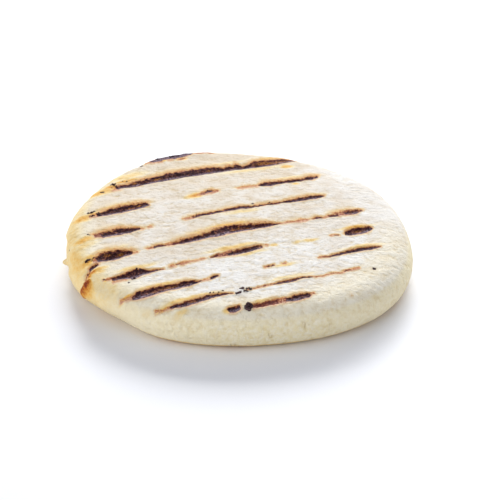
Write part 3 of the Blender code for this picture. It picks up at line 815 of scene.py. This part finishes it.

# %% [markdown]
# The finish needs to know these things at each point, so they go into the mesh as attributes, which
# a material can read: the gap and heat of the mark, its near side and its painted glint, the warmth with
# the painted contact shade of the foot, the embers, the cream with its painted shade, the wrinkles,
# where the side cracks, how much a place takes the side's colour, which is partly painted warm bounce
# light and is laid over the front of the rim too, and how much painted shade its hollows get. The right
# of the cake towards the back is painted paler, as light, with less side colour and less shade in its
# hollows, and the front left of the top has less shade in its hollows.

# %% Attributes
def store(thing, name, values):
    """Keep one number for each point of the mesh."""
    layer = thing.data.attributes.new(name, "FLOAT", "POINT")
    layer.data.foreach_set("value", np.asarray(values, dtype=np.float32))


# painted light: the side's colour, partly warm bounce light, is laid on the front of the rim; the right
# towards the back and the front left are painted paler
to_side, to_rear = points[:, 0], points[:, 1]
warm_front_roll = 0.65 * ease(from_axis(points), 40.0, 50.0) * ease(to_rear, 20.0, -10.0)
warm_front_roll *= 1 - 0.25 * ease(to_side, 20.0, 45.0)
lit_right_back = 0.6 * ease(to_side, 10.0, 40.0) * ease(to_rear, -15.0, 8.0)
side = (1 - facing_down) * (1 - lit_right_back) * np.maximum(1 - ease(normals[:, 2], 0.62, 0.985), warm_front_roll)
lit_front_left = ease(to_side, -14.0, -32.0) * ease(to_rear, -8.0, -20.0)
known = {
    "gap": np.clip(gap, -3, 6),
    "mark_heat": heat,
    "near_side": near_edge,
    "ashen": ashen,
    "warm": warm,
    "ember": ember,
    "cream": cream,
    "cracked": ease(normals[:, 2], 0.6, 0.3) * span(to_side, -14.0, 0.0, 20.0, 34.0),
    "wrinkle": wrinkle + 0.5 * broad,
    "side": side,
    "yellow_hollows": 0.80 - 0.30 * side - 0.65 * lit_right_back - 0.40 * lit_front_left,
}
for name, values in known.items():
    store(skin, name, values)
skin.data.shade_smooth()
print("attributes:", ", ".join(known))

# %% [markdown]
# ## Writing finishes as sums
#
# A finish is a net of nodes. Written out link by link it is hard to read, so two small classes let
# it be written as Python sums. A Wire is one output of a node: adding or multiplying two wires
# makes the Math node that does it. A Finish is a material with its Principled shader.

# %% Wire and Finish
class Wire:
    """An output of a node, with Python's operators on it."""

    def __init__(self, finish, socket):
        self.finish = finish
        self.socket = socket

    def math(self, operation, *others, clamp=False):
        settings = {"operation": operation, "use_clamp": clamp}
        return self.finish.node("ShaderNodeMath", settings, dict(enumerate((self, *others))))

    def __add__(self, other):
        return self.math("ADD", other)

    __radd__ = __add__

    def __sub__(self, other):
        return self.math("SUBTRACT", other)

    def __rsub__(self, other):
        settings = {"operation": "SUBTRACT"}
        return self.finish.node("ShaderNodeMath", settings, {0: other, 1: self})

    def __mul__(self, other):
        return self.math("MULTIPLY", other)

    __rmul__ = __mul__

    def __truediv__(self, other):
        return self.math("DIVIDE", other)

    def __pow__(self, other):
        return self.math("POWER", other)

    def between(self, start, end):
        """0 up to start and 1 from end on, with a soft slope between."""
        settings = {"interpolation_type": "SMOOTHSTEP"}
        inputs = {"Value": self, "From Min": start, "From Max": end}
        return self.finish.node("ShaderNodeMapRange", settings, inputs)


class Finish:
    """A material with its Principled shader and short ways to add nodes to it."""

    def __init__(self, name, **constants):
        self.material = bpy.data.materials.new(name)
        self.material.use_nodes = True
        self.tree = self.material.node_tree
        self.shader = self.tree.nodes["Principled BSDF"]
        for socket, value in constants.items():
            self.shader.inputs[socket.replace("_", " ")].default_value = value
        self.place = self.node("ShaderNodeTexCoord", {}, {}, "Object")

    def node(self, kind, settings, inputs, output=0):
        """Add a node: its settings first, then values or wires for its sockets."""
        made = self.tree.nodes.new(kind)
        for name, value in settings.items():
            if name == "stops":
                self.set_stops(made.color_ramp, value)
            else:
                setattr(made, name, value)
        for socket, value in inputs.items():
            if isinstance(value, Wire):
                self.tree.links.new(value.socket, made.inputs[socket])
            else:
                made.inputs[socket].default_value = value
        return Wire(self, made.outputs[output])

    @staticmethod
    def set_stops(ramp, stops):
        while len(ramp.elements) < len(stops):
            ramp.elements.new(1.0)
        for element, (position, colour) in zip(ramp.elements, stops):
            element.position = position
            element.color = colour

    def attribute(self, name):
        return self.node("ShaderNodeAttribute", {"attribute_name": name}, {}, "Fac")

    def noise(self, size, detail=2.0, roughness=0.5, place=None, distortion=0.0):
        """Noise from 0 to 1 with lumps of this size in mm."""
        inputs = {
            "Vector": place or self.place,
            "Scale": 1 / (size * MM),
            "Detail": detail,
            "Roughness": roughness,
            "Distortion": distortion,
        }
        return self.node("ShaderNodeTexNoise", {}, inputs, "Fac")

    def stretched(self, angle, shares):
        """The place on the piece, turned and squeezed so that a pattern stretches along one way."""
        turn = {"Rotation": (0.0, 0.0, -angle), "Scale": shares, "Vector": self.place}
        return self.node("ShaderNodeMapping", {"vector_type": "POINT"}, turn)

    def ramp(self, factor, stops):
        return self.node("ShaderNodeValToRGB", {"stops": stops}, {"Fac": factor}, "Color")

    def mix(self, factor, first, second, blend="MIX"):
        settings = {"data_type": "RGBA", "blend_type": blend}
        return self.node("ShaderNodeMix", settings, {0: factor, 6: first, 7: second}, 2)

    def bump(self, height, distance, strength=1.0, normal=None):
        inputs = {"Height": height, "Distance": distance * MM, "Strength": strength}
        if normal:
            inputs["Normal"] = normal
        return self.node("ShaderNodeBump", {}, inputs)

    def drive(self, **wires):
        """Link wires to sockets of the shader."""
        for socket, wire in wires.items():
            self.tree.links.new(wire.socket, self.shader.inputs[socket.replace("_", " ")])


# %% [markdown]
# ## The finish of the dough
#
# White corn dough is a warm white on the top, and mealy on the side, where it is also painted yellower
# for the warm light that bounces on to it. Its browning is read from the toast of each point through a
# ramp of colours. Warm places that no rod touched take a second, more golden ramp. Char has several
# dark tones.

# %% Colours of the dough
def to_linear(*levels):
    """A colour given in display levels from 0 to 255, as the linear values that shaders take."""
    shares = [level / 255 for level in levels]
    linear = [s / 12.92 if s <= 0.04045 else ((s + 0.055) / 1.055) ** 2.4 for s in shares]
    return (*linear, 1.0)


TOP_WHITE = to_linear(239, 235, 227)
# a darker cream, also used as painted shade towards the back
TOP_CREAM_AND_SHADE = to_linear(222, 207, 184)
SIDE_MEAL_AND_BOUNCE = to_linear(240, 226, 184)
SIDE_PALE = to_linear(247, 237, 210)
TOAST_STOPS = (
    (0.05, to_linear(231, 215, 186)),
    (0.12, to_linear(227, 201, 156)),
    (0.20, to_linear(226, 187, 134)),
    (0.30, to_linear(222, 166, 106)),
    (0.40, to_linear(208, 143, 82)),
    (0.52, to_linear(182, 112, 64)),
    (0.64, to_linear(150, 82, 56)),
    (0.76, to_linear(112, 58, 50)),
    (0.88, to_linear(76, 38, 38)),
    (1.00, to_linear(52, 26, 30)),
)
GOLD_STOPS = (
    (0.05, to_linear(239, 223, 184)),
    (0.12, to_linear(239, 214, 158)),
    (0.22, to_linear(237, 200, 128)),
    (0.34, to_linear(231, 179, 92)),
    (0.46, to_linear(214, 145, 60)),
    (0.56, to_linear(190, 108, 46)),
    (0.68, to_linear(148, 68, 36)),
    (0.80, to_linear(110, 48, 36)),
)
CHAR_STOPS = (
    (0.28, to_linear(46, 19, 23)),
    (0.42, to_linear(66, 33, 36)),
    (0.54, to_linear(90, 51, 49)),
    (0.66, to_linear(122, 76, 66)),
    (0.80, to_linear(156, 106, 82)),
)
EMBER = to_linear(206, 132, 44)
# a pale violet grey for the painted glint on the char
GLINT_COLOUR = to_linear(182, 168, 184)
PINK_EDGE = to_linear(222, 196, 184)
CREASE_SHADE = to_linear(226, 210, 174)
CRACK = to_linear(214, 196, 152)

print(len(TOAST_STOPS), "colours from white dough to char")

# %% [markdown]
# The toast is worked out once more in the finish, from the gap and the heat of the mark, so that fine
# noise can break up its edges far below the size of the skin's own squares. As with ease, the pair
# given to between says where something starts and where it is full.

# %% Toast in the finish
EDGE_CORE = (0.33, -0.45)  # mm from the edge of a mark

dough = Finish("corn_dough", Metallic=0.0, IOR=1.42, Specular_IOR_Level=0.08)
gap_here = dough.attribute("gap")
mark_heat = dough.attribute("mark_heat")
near_here = dough.attribute("near_side")
warm_here = dough.attribute("warm")
ember_here = dough.attribute("ember")
ridge = dough.attribute("wrinkle")
side = dough.attribute("side")

coarse = dough.noise(1.1, detail=3.0, roughness=0.65)
speckle = dough.noise(0.42, detail=2.0, roughness=0.6)
edge = gap_here + (coarse - 0.5) * 1.5 + (speckle - 0.5) * 1.1
core = edge.between(*EDGE_CORE)
halo = (1 - edge / HALO_REACH).math("MAXIMUM", 0.0).math("MINIMUM", 1.0) ** HALO_FALL * HALO_HEAT
marked = mark_heat * (halo + (FULL_CHAR - halo) * core)
warmed = warm_here * (1 + (coarse - 0.5) * 1.6 + (speckle - 0.5) * 0.8)
broken = mark_heat.between(0.86, 0.70) * speckle.between(0.46, 0.62) * 0.45
toasted = (marked * (1 - broken)).math("MAXIMUM", warmed)
print("the toast takes", len(dough.tree.nodes), "nodes")

# %% [markdown]
# The colours are laid over each other as they lie on the cake: white or mealy dough, then the
# browning, with a pinkish tone at the near edge of a bar, then coal, with ember colour in it and a
# painted pale glint on its near edge and at the far rim.

# %% Colour of the crust
# the cream is partly painted shade
white = dough.mix(dough.attribute("cream"), TOP_WHITE, TOP_CREAM_AND_SHADE)
mealy = 0.5 + (coarse.between(0.38, 0.66) - 0.5) * (0.4 + 0.6 * dough.attribute("cracked"))
mottled = dough.mix(mealy, SIDE_MEAL_AND_BOUNCE, SIDE_PALE)
# the side's colour is partly painted warm bounce light
white = dough.mix(side, white, mottled)
golden = (warmed - marked * (1 - broken)).between(-0.03, 0.03)
brown = dough.mix(golden, dough.ramp(toasted, TOAST_STOPS), dough.ramp(toasted, GOLD_STOPS))
pink = near_here * (1 - golden) * toasted.between(0.10, 0.24) * toasted.between(0.62, 0.40)
brown = dough.mix(pink * 0.5, brown, PINK_EDGE)
browned = dough.mix(toasted.math("MULTIPLY", 16.0, clamp=True), white, brown)
charred = core * mark_heat.between(0.76, 0.92)
sooty = (coarse - 0.5) * 1.4 + (speckle - 0.5) * 1.0 + 0.44
coal = dough.mix(ember_here * speckle.between(0.40, 0.56), dough.ramp(sooty, CHAR_STOPS), EMBER)
coal = dough.mix(speckle.between(0.60, 0.70) * coarse.between(0.45, 0.60) * 0.6, coal, EMBER)
# the painted glint is laid over the coal
coal = dough.mix(dough.attribute("ashen") * speckle.between(0.38, 0.60) * 0.75, coal, GLINT_COLOUR)
crust = dough.mix(charred, browned, coal)
print("the dough finish has", len(dough.tree.nodes), "nodes so far")

# %% [markdown]
# The dough itself is grainy. Its hollows are painted yellower and darker than its ridges, as the
# shade in the creases, and on the side it has a few fine cracks that run up and down: thin lines where
# a noise that is stretched upwards crosses its middle value.

# %% Grain of the dough
along_skin = dough.stretched(WRINKLE_ANGLE, (0.8, 1.0, 0.8))
fibre = dough.noise(1.3, detail=3.0, roughness=0.65, place=along_skin, distortion=0.5)
patchy = dough.noise(5.0, detail=3.0, roughness=0.55)
crease_shade = (0.5 - ridge * 0.30 - (fibre - 0.5) * 1.9 + (patchy - 0.5) * 0.8).between(0.1, 1.0)
upright = dough.stretched(0.0, (1.0, 1.0, 0.22))
streak = (dough.noise(2.6, detail=2.0, place=upright) - 0.5).math("ABSOLUTE")
crack = streak.between(0.030, 0.006) * patchy.between(0.54, 0.66) * dough.attribute("cracked")
# painted shade: the hollows of the relief are made yellower and darker
plain = dough.mix(crease_shade * dough.attribute("yellow_hollows"), crust, CREASE_SHADE, blend="MULTIPLY")
plain = dough.mix(crack * 0.5, plain, CRACK, blend="MULTIPLY")
colour = dough.mix(toasted.between(0.6, 0.3), crust, plain)
rough = 0.6 + charred * 0.25
fibre_bump = dough.bump(fibre - crack * 0.5, 0.55, strength=1.0)
grain_bump = dough.bump(speckle * charred, 0.45, strength=0.8, normal=fibre_bump)
dough.drive(Base_Color=colour, Roughness=rough, Normal=grain_bump)
skin.data.materials.append(dough.material)
print("the dough finish has", len(dough.tree.nodes), "nodes")

# %% [markdown]
# ## Char that stands on the skin
#
# Burnt dough breaks up into grains, and bits of it scatter beside the bars. They are far too small
# to model one by one, so a few rough chips are modelled, and copies of them, each turned and sized
# by seeded chance, are joined into one mesh. Where they lie is read from the skin itself.

# %% Chips to copy
CHIP_SHAPES = (  # squeeze along x, y and z, then how rough, then the seed
    ((1.0, 0.75, 0.60), 0.22, 3),
    ((1.0, 0.55, 0.45), 0.26, 8),
    ((0.85, 0.80, 0.70), 0.30, 11),
)


def rough_chip(squeeze, roughness, seed, cuts):
    """A small rough lump of radius 1, as an array of points and a list of faces."""
    bpy.ops.object.select_all(action="DESELECT")
    bpy.ops.mesh.primitive_ico_sphere_add(subdivisions=cuts, radius=1.0)
    chip = bpy.context.object
    bpy.ops.object.mode_set(mode="EDIT")
    bpy.ops.transform.vertex_random(offset=roughness, uniform=0.6, normal=0.4, seed=seed)
    bpy.ops.transform.resize(value=squeeze)
    bpy.ops.object.mode_set(mode="OBJECT")
    corners = np.array([tuple(vertex.co) for vertex in chip.data.vertices])
    faces = [tuple(face.vertices) for face in chip.data.polygons]
    bpy.data.objects.remove(chip)
    return corners, faces


CHIPS = [rough_chip(*shape, 1) for shape in CHIP_SHAPES]
LUMPS_OF_CHAR = [rough_chip(*shape, 2) for shape in CHIP_SHAPES]
print("chips with", [len(faces) for corners, faces in CHIPS + LUMPS_OF_CHAR], "faces")

# %% [markdown]
# A chip lies with its flat side on the skin, so it gets a random turn of its own and is then turned
# to the skin's normal. Its middle lies a share of its size under the skin, or over it where that
# share is below 0. Either way its foot is sunk in, as it has grown out of the crust.

# %% Join copies
CHIP_TILT = 0.5
CHIP_STRETCH = (0.75, 1.3)


def joined(name, seed, spots, shapes):
    """One object of many chips. A spot is a place in mm, the skin's normal there, a size and a sink."""
    chance = random.Random(seed)
    corners, faces, count = [], [], 0
    for place, normal, size, sink in spots:
        shape, shape_faces = shapes[chance.randrange(len(shapes))]
        tilt = [chance.uniform(-CHIP_TILT, CHIP_TILT) for axis in range(2)]
        own_turn = Euler([*tilt, chance.uniform(0, math.tau)]).to_matrix()
        turn = Vector(normal).to_track_quat("Z", "Y").to_matrix() @ own_turn
        stretch = np.array([chance.uniform(*CHIP_STRETCH) for axis in range(3)])
        laid = (shape * stretch * size) @ np.array(turn).T + place - np.array(normal) * size * sink
        corners.append(laid)
        faces += [tuple(corner + count for corner in face) for face in shape_faces]
        count += len(shape)
    points = np.clip(np.concatenate(corners), *limits)
    mesh = bpy.data.meshes.new(name)
    mesh.from_pydata((points * MM + AXIS).tolist(), [], faces)
    made = bpy.data.objects.new(name, mesh)
    bpy.context.scene.collection.objects.link(made)
    print(name, "has", len(spots), "chips and", len(faces), "faces")
    return made


# %% [markdown]
# Grains fill the charred marks. They lie at points of the skin whose toast is high, a fraction of a
# millimetre aside, so that they don't follow the net of the skin.

# %% Grains
CHANCE_SEED = 41
GRAIN_SHARE = 0.22
CLEAR_SHARE = 0.8  # how much of them the painted glints and the embers keep away
GRAIN_ASIDE = 0.2  # mm
GRAIN_SIZES = (0.13, 0.30)  # mm
GRAIN_SUNK = -0.15  # share of its size

points = places(skin)
normals = outward(skin)
chance = random.Random(CHANCE_SEED)
grain_spots = []
for k in np.nonzero((toast > 0.9) & (np.abs(normals[:, 2]) > 0.4))[0]:
    if chance.random() < GRAIN_SHARE * (1 - CLEAR_SHARE * max(ashen[k], ember[k])):
        aside = np.array([chance.uniform(-GRAIN_ASIDE, GRAIN_ASIDE) for axis in range(2)] + [0.0])
        size = chance.triangular(*GRAIN_SIZES, GRAIN_SIZES[0])
        grain_spots.append((points[k] + aside, normals[k], size, GRAIN_SUNK))
grains = joined("char_grains", CHANCE_SEED + 1, grain_spots, CHIPS)

# %% [markdown]
# Crumbs of char lie where the list below puts them, along and across the bars, by size in mm. A few
# more are strewn close beside the bars by chance, and at the far rim scales of burnt dough stand up
# nearly on edge and face the camera.

# %% Crumbs
CRUMB_SCALE = 1.22
CRUMB_SUNK = 0.1  # share of its size
CRUMBS = (  # along, across, size
    (-17.0, 49.7, 0.45), (-16.5, 49.9, 0.35), (-12.4, 52.0, 0.40), (-30.2, 39.8, 0.42),
    (-29.6, 39.6, 0.46), (-29.0, 39.4, 0.42), (-28.5, 39.9, 0.26), (-29.4, 38.6, 0.32),
    (-28.9, 37.9, 0.34), (-29.3, 38.1, 0.28), (-34.5, 36.1, 0.40), (-33.9, 35.7, 0.32),
    (-30.6, 37.2, 0.30), (-26.0, 40.3, 0.28), (-24.8, 39.7, 0.30), (-42.4, 22.4, 0.36),
    (-41.8, 22.1, 0.32), (-41.3, 22.3, 0.40), (-40.8, 22.5, 0.40), (-40.2, 22.7, 0.34),
    (-42.3, 20.2, 0.32), (-41.7, 19.9, 0.38), (-41.0, 20.0, 0.30), (-39.9, 20.9, 0.30),
    (-39.3, 21.1, 0.30), (-39.0, 20.4, 0.30), (-39.6, 19.9, 0.30), (-46.0, 9.3, 0.32), (-45.5, 8.8, 0.30),
    (-52.5, 7.4, 0.26), (8.0, 7.6, 0.42), (13.6, 7.0, 0.30), (-50.3, -5.2, 0.44), (-49.8, -4.7, 0.48),
    (-49.9, -5.6, 0.34), (-49.2, -5.0, 0.42), (-48.4, -5.3, 0.30), (-47.9, -4.9, 0.30),
    (-48.6, -6.0, 0.32), (-37.5, -16.2, 0.38), (-36.6, -16.6, 0.32), (-39.6, -21.2, 0.52),
    (-40.4, -21.4, 0.34), (-41.8, -22.6, 0.24), (-47.9, -17.3, 0.32), (-21.2, -36.5, 0.30),
    (-20.2, -36.7, 0.26), (-18.8, -37.1, 0.26), (-17.4, -36.8, 0.26), (-14.2, -39.6, 0.42),
    (-13.5, -39.5, 0.66), (-12.7, -39.0, 0.46), (-11.7, -37.9, 0.56), (-12.3, -37.6, 0.32),
    (-10.6, -38.5, 0.44), (-10.8, -39.8, 0.40), (-11.6, -39.4, 0.42), (-9.6, -39.0, 0.46),
    (-9.9, -38.3, 0.34), (29.6, -39.6, 0.52), (29.7, -40.1, 0.36), (-12.9, -45.8, 0.62),
    (-12.2, -46.3, 0.66), (-13.6, -46.4, 0.66), (-12.9, -46.7, 0.95), (-12.3, -47.2, 0.60),
    (-13.7, -47.3, 0.70), (-13.0, -47.8, 0.55), (-13.4, -45.9, 0.45), (-12.5, -46.7, 0.70),
)
SCALE_ROW = ((-12.5, 1.5), (51.4, 53.2), 26)  # along, across, how many
SCALE_SIZES = (0.2, 0.45)  # mm
SCALE_SUNK = -0.2
STRAY_SHARE = 0.012
STRAY_SIZES = (0.10, 0.24)
STRAY_SUNK = 0.2
STRAY_GAP = (0.2, 1.6)  # mm from a charred mark


def on_top_at(along, across):
    """The place and the normal of the skin under a spot of the top, in mm."""
    x = along * math.cos(TOP_ROD_ANGLE) - across * math.sin(TOP_ROD_ANGLE)
    y = along * math.sin(TOP_ROD_ANGLE) + across * math.cos(TOP_ROD_ANGLE)
    start = Vector((x, y, 30.0)) * MM + TURNING_AXIS
    hit, place, normal, face = skin.ray_cast(start, Vector((0, 0, -1)))
    return np.array((place - TURNING_AXIS) / MM), np.array(normal)


bpy.context.view_layer.update()
crumb_spots = [(*on_top_at(*spot), size * CRUMB_SCALE, CRUMB_SUNK) for *spot, size in CRUMBS]
along_row, across_row, scales = SCALE_ROW
for k in range(scales):
    place, normal = on_top_at(chance.uniform(*along_row), chance.uniform(*across_row))
    upright = np.array([chance.uniform(-0.6, 0.6), -0.9, 0.3])
    crumb_spots.append((place, upright, chance.uniform(*SCALE_SIZES), SCALE_SUNK))
beside_char = (char_gap > STRAY_GAP[0]) & (char_gap < STRAY_GAP[1])
for k in np.nonzero(beside_char & (toast > 0.2) & (normals[:, 2] > 0.4))[0]:
    if chance.random() < STRAY_SHARE:
        crumb_spots.append((points[k], normals[k], chance.uniform(*STRAY_SIZES), STRAY_SUNK))
crumbs = joined("char_crumbs", CHANCE_SEED + 2, crumb_spots, LUMPS_OF_CHAR)

# %% [markdown]
# Char is nearly black, with a breath of purple and brown, and it is a little glossier where it is
# lighter.

# %% Char finish
CRUMB_STOPS = (
    (0.34, to_linear(38, 22, 26)),
    (0.55, to_linear(66, 42, 45)),
    (0.70, to_linear(124, 98, 96)),
)

char = Finish("char", Metallic=0.0, IOR=1.45, Specular_IOR_Level=0.10)
sooty = char.noise(0.5, detail=2.0)
char.drive(Base_Color=char.ramp(sooty, CRUMB_STOPS), Roughness=0.75 - sooty * 0.5)
for piece in (grains, crumbs):
    piece.data.materials.append(char.material)
print("the char finish has", len(char.tree.nodes), "nodes")

# %% [markdown]
# ## The finish of the table
#
# A white board with a soft, faint gloss. Its tone drifts a little in clouds far wider than the cake.

# %% Table finish
BOARD_STOPS = ((0.0, (0.82, 0.82, 0.83, 1)), (1.0, (0.86, 0.86, 0.86, 1)))
BOARD_CLOUDS = 400.0  # mm

board = Finish("white_board", Metallic=0.0, Roughness=0.45)
board.drive(Base_Color=board.ramp(board.noise(BOARD_CLOUDS), BOARD_STOPS))
floor.data.materials.append(board.material)
print("the board finish has", len(board.tree.nodes), "nodes")

# %% [markdown]
# ## The end
#
# All three pieces ride on the one body, and the skin stands in for the imported cake.

# %% Finish
for piece in (skin, grains, crumbs):
    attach(piece, "root")
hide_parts("arepa")
